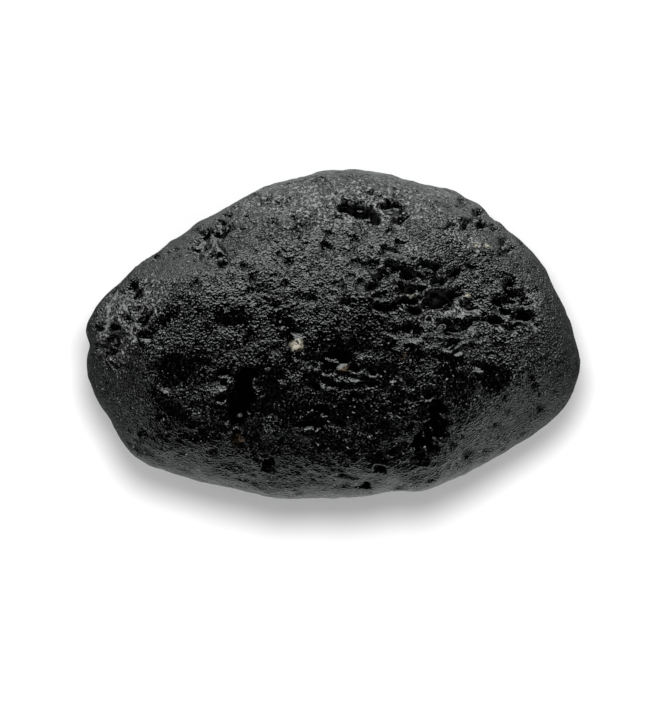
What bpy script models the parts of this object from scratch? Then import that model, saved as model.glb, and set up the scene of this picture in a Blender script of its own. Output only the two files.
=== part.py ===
"""Tektite: one lumpy, rounded piece of black natural glass, pitted and grooved by etching.

The stone lies on a small worn flat. Tables are in millimetres and the mesh is in metres, +Z up, with
the origin on the supporting surface below the middle of the stone.
"""

import bmesh
import bpy
import numpy as np
from mathutils import Matrix, Vector, noise
from mathutils.bvhtree import BVHTree

MM = 0.001

# Driving dimensions of the body.
HALF_LENGTH = 32.0
HALF_WIDTH = 21.4
TOP_HEIGHT = 16.6  # crown above the widest level
UNDER_DEPTH = 20.0  # belly below the widest level, before the worn flat
WORN_FLAT = 1.0  # how much of the belly is missing at the flat
FULLNESS = 2.12  # 2 is an ellipse from the rim to the crown, and more is boxier
UNDER_FULLNESS = 2.45  # the same from the rim to the belly
CROWN_LEAN = (-2.0, -1.2)  # how far the crown sits from the middle of the plan
FAR_LIFT = 5.0  # how much higher the widest level is on the +Y side
NEAR_LIFT = 2.5  # the same on the -Y side

# The outline seen from above, anticlockwise from the blunt end.
OUTLINE = [
    (31.9, -4.3),
    (30.8, 1.0),
    (29.0, 5.7),
    (26.6, 9.9),
    (24.6, 12.0),
    (21.2, 14.7),
    (19.4, 17.0),
    (17.6, 17.7),
    (15.8, 18.6),
    (10.9, 19.5),
    (6.1, 21.1),
    (3.5, 21.5),
    (-1.9, 20.8),
    (-7.1, 19.5),
    (-13.5, 16.3),
    (-15.4, 15.1),
    (-18.7, 13.3),
    (-20.7, 11.8),
    (-22.9, 10.4),
    (-27.0, 7.1),
    (-29.8, 4.4),
    (-31.0, 2.5),
    (-31.9, 0.4),
    (-31.4, -1.6),
    (-31.9, -3.6),
    (-30.9, -8.2),
    (-28.8, -11.4),
    (-26.8, -14.6),
    (-24.8, -16.3),
    (-21.4, -17.3),
    (-19.0, -18.2),
    (-17.1, -19.0),
    (-12.2, -20.5),
    (-6.2, -21.3),
    (-1.4, -21.2),
    (5.7, -20.9),
    (8.6, -20.4),
    (11.4, -20.5),
    (15.2, -19.2),
    (18.6, -17.7),
    (23.8, -14.5),
    (28.6, -11.7),
    (31.0, -8.4),
]

# Flattened sides: azimuth and elevation of the side's normal, and how much is missing there.
FACETS = [
    (-48, 36, 1.5),
    (122, 38, 1.2),
    (62, 24, 1.0),
    (205, 38, 0.7),
    (-100, 34, 0.4),
    (20, -40, 1.2),
    (150, -36, 1.0),
    (-75, -46, 1.0),
    (245, -50, 0.8),
]
FACET_EDGE = 0.7  # rounding of the edges between flattened sides

# Swellings and dents: azimuth, elevation, height outward and spread.
LUMPS = [
    (178, 22, 0.7, 3.5),  # small knob at the pointed end
    (186, 30, -0.6, 2.4),  # crease inside the knob
    (40, 62, 0.7, 6.0),
    (-20, 55, 0.6, 6.0),
    (15, 48, -0.9, 5.5),
    (-110, 48, -0.6, 5.0),
    (132, 30, 0.5, 5.0),
    (-150, 25, 0.5, 5.0),
    (-140, 2, 0.7, 4.0),  # corner of the outline
    (-35, -45, 0.9, 6.0),
    (110, -55, -0.9, 7.0),
    (-130, -55, -0.8, 6.0),
    (5, -35, 0.6, 5.0),
]
WAVE_LENGTH = 9.0
WAVE_HEIGHT = 0.45

# Broad shallow scoops with a low ridge where two meet: azimuth, elevation, width and depth.
SCOOPS = [
    (82, 2, 10.0, 0.4),
    (48, -24, 11.0, 0.6),
    (100, -20, 12.0, 0.5),
    (74, -52, 12.0, 0.7),
    (148, -18, 10.0, 0.5),
    (200, -36, 11.0, 0.7),
    (-102, -22, 12.0, 0.6),
    (-66, -14, 9.0, 0.5),
    (-28, -30, 12.0, 0.7),
    (-128, -48, 11.0, 0.7),
    (8, -58, 10.0, 0.6),
]
SCOOP_EDGE = 0.25  # rounding of the rim of a scoop

# Pits on the upper side: place in plan, length, width, depth, and turn of the length from +X.
UPPER_PITS = [
    # hollow near the crest
    (2.9, 16.1, 5.2, 3.0, 1.7, -8),
    (7.0, 16.5, 4.4, 3.8, 1.1, 10),
    (4.7, 18.4, 3.0, 1.4, 0.8, -5),
    # crescent and slit above the pointed end
    (-15.9, 11.5, 5.4, 4.2, 1.1, 80),
    (-14.7, 10.2, 3.4, 1.8, 1.5, 100),
    (-17.2, 13.0, 3.6, 1.6, 1.2, 35),
    # ledged cluster on the shoulder
    (4.9, 9.1, 3.8, 2.0, 1.1, -10),
    (8.1, 8.2, 4.4, 3.6, 1.6, 0),
    (12.3, 8.4, 4.8, 2.2, 1.1, 5),
    (9.7, 5.6, 4.6, 2.2, 1.5, 5),
    (14.0, 4.3, 7.2, 2.8, 1.9, 10),
    (6.3, 3.4, 6.0, 2.6, 1.2, 0),
    (20.3, 4.0, 3.8, 2.8, 1.3, 0),
    (23.2, 4.9, 3.6, 3.8, 1.5, -40),
    (25.6, 1.6, 3.2, 2.4, 1.2, -60),
    (9.6, 0.5, 6.6, 2.0, 1.2, 3),
    (16.1, 0.5, 4.6, 2.0, 1.2, 8),
    (15.0, -1.6, 3.8, 1.8, 0.9, 20),
    (18.1, 8.6, 3.2, 2.0, 1.0, -5),
    (15.2, 14.1, 2.8, 2.6, 1.2, -30),
    # groove and bowls in the middle
    (-11.7, -6.8, 5.8, 3.8, 2.2, 92),
    (-12.4, -10.4, 5.4, 4.4, 1.9, 80),
    (0.1, -3.8, 5.2, 4.6, 1.6, 20),
    (-1.8, -8.4, 7.6, 3.0, 1.3, 5),
    (-3.2, -12.2, 5.8, 3.2, 1.4, 0),
    (-8.0, -8.6, 4.2, 2.6, 1.1, 0),
    (-15.4, -4.8, 3.4, 2.8, 1.0, 45),
    # hollows along the lower edge
    (13.2, -9.9, 5.8, 3.0, 1.4, 15),
    (12.7, -12.6, 5.4, 3.8, 1.7, 75),
    (10.5, -16.0, 4.4, 2.8, 1.2, 5),
    (7.1, -14.8, 3.8, 2.6, 1.0, 0),
    (-8.2, -16.8, 3.8, 3.0, 1.2, 5),
    (3.8, -18.8, 3.4, 2.4, 1.0, 0),
    # single pits
    (-0.7, 10.9, 2.6, 2.4, 1.0, 0),
    (-26.0, -7.4, 3.6, 2.4, 1.0, 60),
]

# Pits on the flanks and the underside follow one seeded draw.
HIDDEN_PITS = 30
HIDDEN_SEED = 11
HIDDEN_LENGTH = (2.6, 6.0)
HIDDEN_ELEVATION = (-62, -8)

GRID = 16  # squares along each side of the cube that is rounded into the body


def closed_curve(knots, values, at):
    """Reads a closed smooth curve through values at the ascending angles knots."""
    turn = 2 * np.pi
    t = np.concatenate([knots[-2:] - turn, knots, knots[:2] + turn])
    v = np.concatenate([values[-2:], values, values[:2]])
    slope = (v[2:] - v[:-2]) / (t[2:] - t[:-2])
    at = (at - knots[0]) % turn + knots[0]
    left = np.clip(np.searchsorted(t, at, side="right") - 1, 1, len(t) - 3)
    step = t[left + 1] - t[left]
    s = (at - t[left]) / step
    start = v[left] * (1 + 2 * s) * (1 - s) ** 2 + slope[left - 1] * step * s * (1 - s) ** 2
    end = v[left + 1] * s**2 * (3 - 2 * s) - slope[left] * step * s**2 * (1 - s)
    return start + end


def outline_radius(azimuth):
    """Distance from the middle to the outline in plan."""
    points = np.array(OUTLINE)
    angles = np.arctan2(points[:, 1], points[:, 0])
    order = np.argsort(angles)
    return closed_curve(angles[order], np.hypot(*points.T)[order], azimuth)


def unit(azimuth, elevation):
    """Unit vector at an azimuth and an elevation in degrees."""
    a, e = np.radians(azimuth), np.radians(elevation)
    return np.array([np.cos(e) * np.cos(a), np.cos(e) * np.sin(a), np.sin(e)])


def rounded_body(directions):
    """Carries unit directions onto the plain rounded body, before it is flattened and dented."""
    azimuth = np.arctan2(directions[:, 1], directions[:, 0])
    level = np.abs(directions[:, 2])
    run = np.hypot(directions[:, 0], directions[:, 1])
    ellipse = HALF_LENGTH * HALF_WIDTH / np.hypot(
        HALF_WIDTH * np.cos(azimuth), HALF_LENGTH * np.sin(azimuth)
    )
    toward_crown = level**1.5
    radius = outline_radius(azimuth) * (1 - toward_crown) + ellipse * toward_crown
    power = np.where(directions[:, 2] > 0, FULLNESS, UNDER_FULLNESS)
    full = (run**power + level**power) ** (-1 / power)
    aside = run * full * np.sin(azimuth)
    lift = np.where(aside > 0, FAR_LIFT, NEAR_LIFT) * np.abs(aside) ** 1.4
    height = np.where(directions[:, 2] > 0, TOP_HEIGHT - lift, UNDER_DEPTH + lift)
    points = np.empty_like(directions)
    points[:, 0] = radius * run * full * np.cos(azimuth)
    points[:, 1] = radius * run * full * np.sin(azimuth)
    points[:, 2] = lift + height * directions[:, 2] * full
    rise = np.clip(points[:, 2] / TOP_HEIGHT, 0, None) ** 2
    points[:, :2] += rise[:, None] * np.array(CROWN_LEAN)
    return points


def flatten_sides(points):
    """Presses each facet softly into the body."""
    for azimuth, elevation, missing in FACETS:
        normal = unit(azimuth, elevation)
        reach = points @ normal
        plane = reach.max() - missing
        pressed = plane - FACET_EDGE * np.logaddexp(0, (plane - reach) / FACET_EDGE)
        points = points + np.outer(pressed - reach, normal)
    return points


def press_scoops(points, directions):
    """Presses a wide ball into the body for each scoop."""
    for azimuth, elevation, width, depth in SCOOPS:
        toward = unit(azimuth, elevation)
        place = points[np.argmax(directions @ toward)]
        radius = (width / 2) ** 2 / (2 * depth)
        offset = points - place - toward * (radius - depth)
        reach = np.linalg.norm(offset, axis=1)[:, None]
        push = SCOOP_EDGE * np.logaddexp(0, (radius - reach) / SCOOP_EDGE)
        points = points + offset * (push / reach)
    return points


def add_lumps(points, directions):
    """Raises the swellings and sinks the dents, then adds a slow irregular wave."""
    for azimuth, elevation, height, spread in LUMPS:
        toward = unit(azimuth, elevation)
        centre = points[np.argmax(directions @ toward)]
        distance = np.linalg.norm(points - centre, axis=1)
        points = points + np.outer(height * np.exp(-((distance / spread) ** 2)), toward)
    wave = [noise.fractal(Vector(p) / WAVE_LENGTH, 1.0, 2.0, 3) for p in points]
    return points + directions * (WAVE_HEIGHT * np.array(wave))[:, None]


def body_points(directions):
    """The whole body in millimetres, centred in plan and standing on its worn flat."""
    points = flatten_sides(rounded_body(directions))
    points = press_scoops(add_lumps(points, directions), directions)
    points[:, 2] -= points[:, 2].min() + WORN_FLAT
    points[:, 2] = np.maximum(points[:, 2], 0)
    points[:, :2] -= (points[:, :2].max(axis=0) + points[:, :2].min(axis=0)) / 2
    return points


def round_cube():
    """A cube of GRID squares a side, with its points moved to even directions on a sphere."""
    shape = bmesh.new()
    bmesh.ops.create_cube(shape, size=2.0)
    bmesh.ops.subdivide_edges(shape, edges=shape.edges, cuts=GRID - 1, use_grid_fill=True)
    for vert in shape.verts:
        vert.co = Vector([np.tan(c * np.pi / 4) for c in vert.co]).normalized()
    return shape


def link_mesh(name, shape):
    """Makes a named object from a bmesh."""
    mesh = bpy.data.meshes.new(name)
    shape.to_mesh(mesh)
    shape.free()
    obj = bpy.data.objects.new(name, mesh)
    bpy.context.scene.collection.objects.link(obj)
    return obj


def black_glass():
    """Near-black natural glass with a satin, etched surface."""
    material = bpy.data.materials.new("tektite_glass")
    material.use_nodes = True
    shader = material.node_tree.nodes["Principled BSDF"]
    shader.inputs["Base Color"].default_value = (0.004, 0.004, 0.0042, 1.0)
    shader.inputs["Roughness"].default_value = 0.35
    shader.inputs["Metallic"].default_value = 0.0
    shader.inputs["IOR"].default_value = 1.5
    return material


def make_body():
    shape = round_cube()
    directions = np.array([vert.co for vert in shape.verts])
    for vert, point in zip(shape.verts, body_points(directions) * MM):
        vert.co = point
    body = link_mesh("tektite", shape)
    body.data.materials.append(black_glass())
    return body


def pit_cutter(name, place, outward, size, turn):
    """An ellipsoid, sunk by its lower half, that carves one pit. size is length, width and depth."""
    shape = bmesh.new()
    bmesh.ops.create_icosphere(shape, subdivisions=2, radius=1.0)
    cutter = link_mesh(name, shape)
    length, width, depth = size
    across = outward.cross(Vector((np.cos(np.radians(turn)), np.sin(np.radians(turn)), 0))).normalized()
    facing = Matrix((across.cross(outward), across, outward)).transposed().to_4x4()
    stretch = Matrix.Diagonal((length / 2, width / 2, depth, 1.0))
    cutter.matrix_world = Matrix.Translation(place) @ facing @ stretch
    cutter.hide_render = True
    cutter.display_type = "WIRE"
    return cutter


def upper_cutters(surface):
    """One cutter for each pit of the upper side, where a plumb line at its place meets the body."""
    cutters = []
    for number, (x, y, length, width, depth, turn) in enumerate(UPPER_PITS):
        above = Vector((x * MM, y * MM, 0.1))
        place, outward, _, _ = surface.ray_cast(above, Vector((0, 0, -1)))
        size = (length * MM, width * MM, depth * MM)
        cutters.append(pit_cutter(f"upper_pit_{number}", place, outward, size, turn))
    return cutters


def hidden_cutters(surface):
    """Cutters for the flanks and the underside, clear of the worn flat."""
    draw = np.random.RandomState(HIDDEN_SEED)
    middle = Vector((0, 0, UNDER_DEPTH * MM))
    cutters = []
    for number in range(HIDDEN_PITS):
        # Evenly spread turns keep the pits from bunching, and the draw unsettles them.
        azimuth = 137.5 * number + draw.uniform(-20, 20)
        elevation = draw.uniform(*HIDDEN_ELEVATION)
        toward = Vector(unit(azimuth, elevation))
        place, outward, _, _ = surface.ray_cast(middle + toward * 0.1, -toward)
        length = HIDDEN_LENGTH[0] + np.ptp(HIDDEN_LENGTH) * draw.uniform() ** 2
        width = length * draw.uniform(0.55, 1.0)
        depth = width * draw.uniform(0.3, 0.45)
        size = (length * MM, width * MM, depth * MM)
        turn = draw.uniform(0, 180)
        cutters.append(pit_cutter(f"hidden_pit_{number}", place, outward, size, turn))
    return cutters


def carve(body, cutters):
    """Takes all the cutters out of the body at once, so that pits may run into each other."""
    group = bpy.data.collections.new("pit_cutters")
    bpy.context.scene.collection.children.link(group)
    for cutter in cutters:
        bpy.context.scene.collection.objects.unlink(cutter)
        group.objects.link(cutter)
    cut = body.modifiers.new("pits", "BOOLEAN")
    cut.operation = "DIFFERENCE"
    cut.operand_type = "COLLECTION"
    cut.collection = group


def main():
    for obj in list(bpy.data.objects):
        bpy.data.objects.remove(obj)
    body = make_body()
    bpy.context.view_layer.update()
    surface = BVHTree.FromObject(body, bpy.context.evaluated_depsgraph_get())
    carve(body, upper_cutters(surface) + hidden_cutters(surface))
    body.data.shade_smooth()


main()
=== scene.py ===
"""Tektite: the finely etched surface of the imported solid, its black glass, and the studio round it."""

import bpy
import numpy as np
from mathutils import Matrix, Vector, noise

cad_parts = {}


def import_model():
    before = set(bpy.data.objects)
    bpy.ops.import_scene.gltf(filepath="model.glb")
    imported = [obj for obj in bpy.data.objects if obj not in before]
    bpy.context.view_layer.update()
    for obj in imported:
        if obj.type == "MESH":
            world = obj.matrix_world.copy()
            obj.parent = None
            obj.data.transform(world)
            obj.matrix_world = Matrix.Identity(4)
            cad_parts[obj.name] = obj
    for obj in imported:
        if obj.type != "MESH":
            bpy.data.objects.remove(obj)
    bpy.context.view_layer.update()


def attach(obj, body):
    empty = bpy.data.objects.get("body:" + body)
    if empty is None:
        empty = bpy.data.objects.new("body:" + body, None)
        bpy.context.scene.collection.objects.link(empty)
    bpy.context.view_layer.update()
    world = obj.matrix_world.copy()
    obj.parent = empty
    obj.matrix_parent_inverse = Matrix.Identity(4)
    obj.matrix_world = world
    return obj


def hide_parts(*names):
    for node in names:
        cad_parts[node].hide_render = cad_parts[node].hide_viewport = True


MM = 0.001

# Body, in millimetres, from the same values as the part's source.
HALF_LENGTH = 32.0
HALF_WIDTH = 21.4
TOP_HEIGHT = 16.6  # crown above the widest level
UNDER_DEPTH = 20.0  # belly below the widest level, before the worn flat
WORN_FLAT = 1.0  # how much of the belly is missing at the flat
FULLNESS = 2.12  # 2 is an ellipse from the rim to the crown, and more is boxier
UNDER_FULLNESS = 2.45  # the same from the rim to the belly
CROWN_LEAN = (-2.0, -1.2)  # how far the crown sits from the middle of the plan
FAR_LIFT = 5.0  # how much higher the widest level is on the +Y side
NEAR_LIFT = 2.5  # the same on the -Y side
LIFT_POWER = 1.4  # 1 lifts it evenly from the middle, and more lifts it mostly at the edge
CROWN_ROUNDING = 1.5  # how soon the outline gives way to an ellipse towards the crown

# The outline seen from above, anticlockwise from the blunt end.
OUTLINE = [
    (31.9, -4.3),
    (30.8, 1.0),
    (29.0, 5.7),
    (26.6, 9.9),
    (24.6, 12.0),
    (21.2, 14.7),
    (19.4, 17.0),
    (17.6, 17.7),
    (15.8, 18.6),
    (10.9, 19.5),
    (6.1, 21.1),
    (3.5, 21.5),
    (-1.9, 20.8),
    (-7.1, 19.5),
    (-13.5, 16.3),
    (-15.4, 15.1),
    (-18.7, 13.3),
    (-20.7, 11.8),
    (-22.9, 10.4),
    (-27.0, 7.1),
    (-29.8, 4.4),
    (-31.0, 2.5),
    (-31.9, 0.4),
    (-31.4, -1.6),
    (-31.9, -3.6),
    (-30.9, -8.2),
    (-28.8, -11.4),
    (-26.8, -14.6),
    (-24.8, -16.3),
    (-21.4, -17.3),
    (-19.0, -18.2),
    (-17.1, -19.0),
    (-12.2, -20.5),
    (-6.2, -21.3),
    (-1.4, -21.2),
    (5.7, -20.9),
    (8.6, -20.4),
    (11.4, -20.5),
    (15.2, -19.2),
    (18.6, -17.7),
    (23.8, -14.5),
    (28.6, -11.7),
    (31.0, -8.4),
]

# Flattened sides: azimuth and elevation of the side's normal, and how much is missing there.
FACETS = [
    (-48, 36, 1.5),
    (122, 38, 1.2),
    (62, 24, 1.0),
    (205, 38, 0.7),
    (-100, 34, 0.4),
    (20, -40, 1.2),
    (150, -36, 1.0),
    (-75, -46, 1.0),
    (245, -50, 0.8),
]
FACET_EDGE = 0.7

# Swellings and dents: azimuth, elevation, height outward and spread.
LUMPS = [
    (178, 22, 0.7, 3.5),
    (186, 30, -0.6, 2.4),
    (40, 62, 0.7, 6.0),
    (-20, 55, 0.6, 6.0),
    (15, 48, -0.9, 5.5),
    (-110, 48, -0.6, 5.0),
    (132, 30, 0.5, 5.0),
    (-150, 25, 0.5, 5.0),
    (-140, 2, 0.7, 4.0),
    (-35, -45, 0.9, 6.0),
    (110, -55, -0.9, 7.0),
    (-130, -55, -0.8, 6.0),
    (5, -35, 0.6, 5.0),
]
WAVE_LENGTH = 9.0
WAVE_HEIGHT = 0.45
WAVE_LAYERS = 3

# Broad shallow scoops with a low ridge where two meet: azimuth, elevation, width and depth.
SCOOPS = [
    (82, 2, 10.0, 0.4),
    (48, -24, 11.0, 0.6),
    (100, -20, 12.0, 0.5),
    (74, -52, 12.0, 0.7),
    (148, -18, 10.0, 0.5),
    (200, -36, 11.0, 0.7),
    (-102, -22, 12.0, 0.6),
    (-66, -14, 9.0, 0.5),
    (-28, -30, 12.0, 0.7),
    (-128, -48, 11.0, 0.7),
    (8, -58, 10.0, 0.6),
]
SCOOP_EDGE = 0.25

# Mesh: squares along the length, the width and the height of a box that is rounded into the stone.
GRID = (176, 118, 90)
CROWD = 0.25  # draws the squares together on the upper side
UPWARD = (0.0, 0.15)  # the upper side starts where the normal's Z is between these

# Cavities of the upper side, in plan: x, y, length, width, depth, turn, wall (1 is a sheer wall) and
# lean (how much the floor falls away towards +Y, or towards -Y where it is negative).
CAVITIES = [
    # black hollow near the crest, its neighbour with a paler floor, and the slit over them
    (2.9, 16.2, 4.8, 2.2, 2.6, -14, 0.8, -0.8),
    (4.8, 15.2, 2.8, 1.6, 2.2, -30, 0.8, -0.8),
    (7.6, 16.3, 3.4, 2.2, 1.4, -8, 0.8, 0.5),
    (8.9, 15.0, 2.0, 1.6, 1.6, 40, 0.7, -0.7),
    (4.8, 18.1, 2.4, 0.8, 1.2, -6, 0.6, -0.7),
    # crescents round the shallow bowl above the pointed end
    (-14.2, 13.5, 3.0, 1.1, 1.6, 22, 0.7, -0.6),
    (-16.4, 12.7, 2.6, 1.1, 1.6, 45, 0.7, -0.6),
    (-17.5, 11.3, 2.8, 1.1, 1.5, 75, 0.7, -0.4),
    (-17.4, 9.8, 1.8, 0.8, 1.0, 105, 0.6, -0.4),
    (-14.6, 10.2, 3.8, 1.5, 2.2, 102, 0.8, -0.6),
    # ledged cluster on the shoulder
    (5.1, 9.1, 2.6, 0.9, 1.0, -15, 0.6, 0.3),
    (7.6, 8.5, 2.0, 2.2, 2.0, 30, 0.7, -0.7),
    (9.8, 7.8, 3.6, 2.2, 2.0, -20, 0.7, -0.6),
    (11.0, 8.9, 2.2, 1.0, 1.0, 15, 0.5, 0.5),
    (13.3, 8.6, 1.9, 1.2, 1.6, -10, 0.7, -0.7),
    (11.8, 5.9, 2.0, 1.0, 1.3, 10, 0.7, -0.5),
    (9.6, 5.5, 2.6, 1.2, 1.6, 5, 0.7, -0.6),
    (14.2, 4.4, 6.0, 2.2, 2.6, 10, 0.8, -0.8),
    (11.4, 3.4, 3.8, 1.5, 2.2, 20, 0.8, -0.7),
    (7.0, 3.4, 3.8, 1.5, 1.8, 5, 0.8, -0.7),
    (9.6, 4.1, 3.6, 1.3, 1.8, 8, 0.8, -0.7),
    (17.2, 3.6, 2.4, 1.0, 1.3, -10, 0.7, -0.6),
    (21.3, 4.2, 1.4, 2.0, 1.6, 10, 0.7, -0.6),
    (23.2, 4.7, 2.9, 2.0, 2.0, -40, 0.7, -0.7),
    (22.0, 3.0, 2.8, 1.6, 1.6, -30, 0.7, -0.6),
    (23.2, 5.8, 2.6, 1.4, 1.8, -25, 0.8, -0.7),
    (25.0, 4.4, 2.4, 1.4, 1.6, -60, 0.8, -0.6),
    (20.6, 1.3, 2.6, 1.0, 1.3, -20, 0.7, -0.6),
    (24.9, 2.4, 2.6, 1.6, 1.8, -50, 0.7, -0.6),
    (25.8, 1.2, 2.0, 1.0, 0.9, -70, 0.5, 0.3),
    (8.8, 0.8, 4.6, 0.9, 1.4, 4, 0.7, -0.6),
    (16.2, 0.7, 4.0, 1.0, 1.5, 14, 0.7, -0.6),
    (15.2, -1.4, 3.0, 0.7, 0.8, 22, 0.5, 0.3),
    (17.8, 8.6, 1.9, 0.9, 0.9, -30, 0.5, 0.4),
    (15.0, 14.2, 1.5, 1.2, 1.1, -30, 0.6, 0.2),
    (16.6, 13.5, 1.2, 0.7, 0.7, -10, 0.5, 0.3),
    (21.5, 7.0, 1.2, 0.8, 0.6, 0, 0.5, 0.4),
    # small pits of the grey side
    (-0.6, 10.9, 1.7, 1.6, 1.0, 0, 0.6, 0.4),
    (0.7, 14.4, 2.0, 2.1, 0.7, 0, 0.6, 0.8),
    (3.2, 13.9, 1.4, 1.0, 0.6, 0, 0.6, 0.6),
    (0.0, 5.1, 1.5, 0.8, 0.6, 0, 0.5, 0.4),
    (-3.9, 11.8, 1.3, 0.6, 0.5, 0, 0.5, 0.3),
    (-7.5, 11.8, 1.2, 0.6, 0.4, 0, 0.5, 0.3),
    (-6.5, 10.0, 1.4, 0.5, 0.4, 0, 0.5, 0.3),
    (8.7, 12.0, 1.8, 0.7, 0.7, -5, 0.5, 0.3),
    (6.8, 10.4, 1.8, 0.8, 0.7, 15, 0.5, 0.4),
    (7.4, 13.3, 1.6, 0.4, 0.5, 0, 0.5, 0.0),
    (19.6, 10.0, 1.0, 0.6, 0.5, 20, 0.5, 0.4),
    (-11.7, 13.2, 1.4, 1.2, 0.4, 0, 0.6, 0.8),
    (-1.7, 7.9, 1.0, 0.5, 0.4, 0, 0.5, 0.3),
    (-9.8, 17.4, 1.3, 0.8, 0.5, 25, 0.5, 0.5),
    (-1.7, 20.0, 1.8, 0.6, 0.5, 0, 0.5, 0.5),
    # groove, and the bowls with a lit lower side in the middle
    (-11.8, -6.9, 4.8, 2.8, 2.2, 92, 0.7, -0.2),
    (-12.1, -9.4, 5.0, 3.2, 2.2, 84, 0.7, -0.2),
    (-11.2, -8.2, 2.6, 2.2, 2.2, 90, 0.7, -0.2),
    (-12.9, -11.3, 2.6, 2.8, 1.6, 60, 0.6, -0.2),
    (-12.4, -13.2, 2.2, 1.2, 1.3, 100, 0.6, -0.4),
    (0.1, -3.6, 4.2, 3.6, 1.4, 20, 0.6, 0.4),
    (-3.6, -12.0, 4.0, 1.6, 1.0, 0, 0.5, 0.3),
    # hollows along the lower edge
    (13.4, -9.8, 3.2, 1.8, 1.4, 10, 0.6, 0.0),
    (12.8, -12.0, 4.4, 2.2, 1.8, 65, 0.6, 0.0),
    (11.2, -14.4, 2.8, 1.8, 1.5, 40, 0.6, 0.0),
    (11.0, -16.2, 2.6, 1.2, 1.2, 5, 0.6, 0.0),
    (6.0, -17.2, 1.9, 1.1, 0.9, 0, 0.6, 0.4),
    (7.4, -15.0, 2.2, 1.3, 0.8, 0, 0.5, 0.4),
    (-8.4, -16.8, 2.8, 1.3, 1.2, 5, 0.6, 0.2),
    (3.8, -19.5, 2.4, 0.7, 0.7, 0, 0.6, 0.0),
]
# Crowds of small sharp cavities round the placed ones, in plan: x, y, length, width, turn and how many.
CLUSTERS = [
    (11.0, 6.0, 13.0, 5.8, 5, 30),
    (6.0, 16.0, 8.0, 3.6, -8, 8),
    (12.0, -12.6, 5.0, 9.0, -15, 14),
    (-12.3, -8.4, 5.6, 9.6, 0, 12),
    (23.4, 4.0, 6.0, 6.5, -30, 10),
    (-15.8, 11.6, 5.0, 4.4, 40, 8),
    (0.0, -7.0, 13.0, 10.0, 0, 18),
    (-27.0, 1.0, 7.0, 11.0, 0, 20),
    (-19.0, 13.0, 22.0, 4.0, 38, 12),
    (21.0, 13.5, 14.0, 4.0, -44, 10),
    (12.0, 0.4, 13.0, 2.4, 8, 3),
]
CLUSTER_SEED = 3
CLUSTER_LENGTH = (0.9, 2.4)
CLUSTER_NARROW = (0.35, 0.7)  # width as a share of the length
CLUSTER_DEEP = (0.9, 1.4)  # depth as a share of the width
CLUSTER_TURN = (-25, 35)
CLUSTER_WALL = 0.6
CLUSTER_LEAN = (-0.8, 0.2)
# The wall of each cavity above starts this much short of its own value and ends at WALL_END, in shares of
# the cavity's oval.
WALL_START = 0.2
WALL_END = 1.15
CAVITY_MARK = (0.1, 0.6)  # the material changes from outside to inside a cavity between these depths
PITTED_DEPTH = 0.3  # deeper cavities have no seeded pits
# The walls wander by these amounts over these lengths.
RAGGED = [(0.6, 2.2), (0.4, 0.8)]
RAGGED_SEED = 2

# Ridges and creases of the upper side, in plan: height (less than 0 is a crease), width and corners.
LINES = [
    (0.9, 10.0, [(-19.0, 5.6), (-14.0, 5.1), (-9.0, 5.6), (-2.0, 5.3), (4.0, 4.3)]),
    (0.4, 4.0, [(-10.0, -15.6), (7.0, -16.2)]),
    (0.45, 4.0, [(-24.0, -2.6), (-18.5, -1.8)]),
    (0.35, 4.0, [(0.5, 5.0), (4.0, 5.0)]),
    (-0.35, 0.7, [(-27.0, 7.4), (-29.2, 4.4), (-30.4, 0.2)]),
    (-0.25, 0.5, [(-27.0, 3.8), (-26.4, 1.8), (-26.1, 0.4)]),
    (-0.3, 0.7, [(-27.0, -13.8), (-24.6, -15.2), (-22.4, -16.4)]),
    (0.3, 1.2, [(10.0, 19.4), (13.9, 15.7), (17.8, 14.6), (21.7, 13.8)]),
    (-0.2, 0.6, [(-12.7, 8.3), (-11.0, 5.8), (-9.2, 3.1)]),
    (-0.2, 0.5, [(-11.6, 8.6), (-9.9, 6.0), (-8.2, 3.4)]),
    (0.25, 0.6, [(-9.9, -5.4), (-9.9, -8.0), (-9.6, -11.0)]),
    (0.3, 0.8, [(8.7, -1.4), (11.0, -0.6), (13.4, 0.3)]),
    (0.3, 0.8, [(13.9, 2.4), (16.5, 3.0), (18.4, 2.4)]),
    (0.6, 3.2, [(8.5, -2.2), (17.0, -1.5)]),
    (0.25, 0.8, [(6.2, -13.4), (10.6, -12.9), (14.6, -14.2)]),
    (-0.2, 0.6, [(-12.0, 15.6), (-8.0, 16.9), (-4.2, 17.8)]),
    (-0.15, 0.5, [(-29.0, -6.2), (-26.4, -10.6), (-22.6, -14.6)]),
]

# Pits on the flanks and the underside, from the same seeded draw as the part's source.
HIDDEN_PITS = 30
HIDDEN_SEED = 11
HIDDEN_LENGTH = (2.6, 6.0)
HIDDEN_ELEVATION = (-62, -8)
HIDDEN_STEP = 137.5  # degrees round the stone from each pit to the next, which spreads them evenly
HIDDEN_SCATTER = 20
HIDDEN_NARROW = (0.55, 1.0)  # width as a share of the length
HIDDEN_DEEP = (0.3, 0.45)  # depth as a share of the width
HIDDEN_WALL = (0.4, 1.1)  # where the wall starts and ends, in shares of the pit's oval
SAME_SIDE = 0.3  # cosine of the turn of the surface at which a pit ends

# Seeded small pits over the whole stone.
PIT_SEED = 5
PIT_COUNT = 2300
PIT_WIDTH = (0.6, 2.2)
PIT_RARITY = 6  # 1 draws all widths evenly, and more makes wide pits rare
PIT_NARROW = (0.6, 1.0)  # the narrow way as a share of the width
PIT_DEEP = (0.15, 0.45)  # depth as a share of the width
PIT_WALL = (0.2, 1.1)  # where the wall starts and ends, in shares of the pit's oval
OFF_LEVEL = 0.3  # rise of the direction that a pit is turned to, which keeps it off a level normal
SMOOTHER_SIDE = -16.0  # the pits are shallower beyond this, towards -Y
SMOOTHER_SHARE = 0.35

# Etched skin: height and length of each layer of its relief, and how much stronger the broken skin's is.
ETCHING = [(0.1, 2.1), (0.07, 0.95)]
BROKEN_TIMES = 3.0
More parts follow.
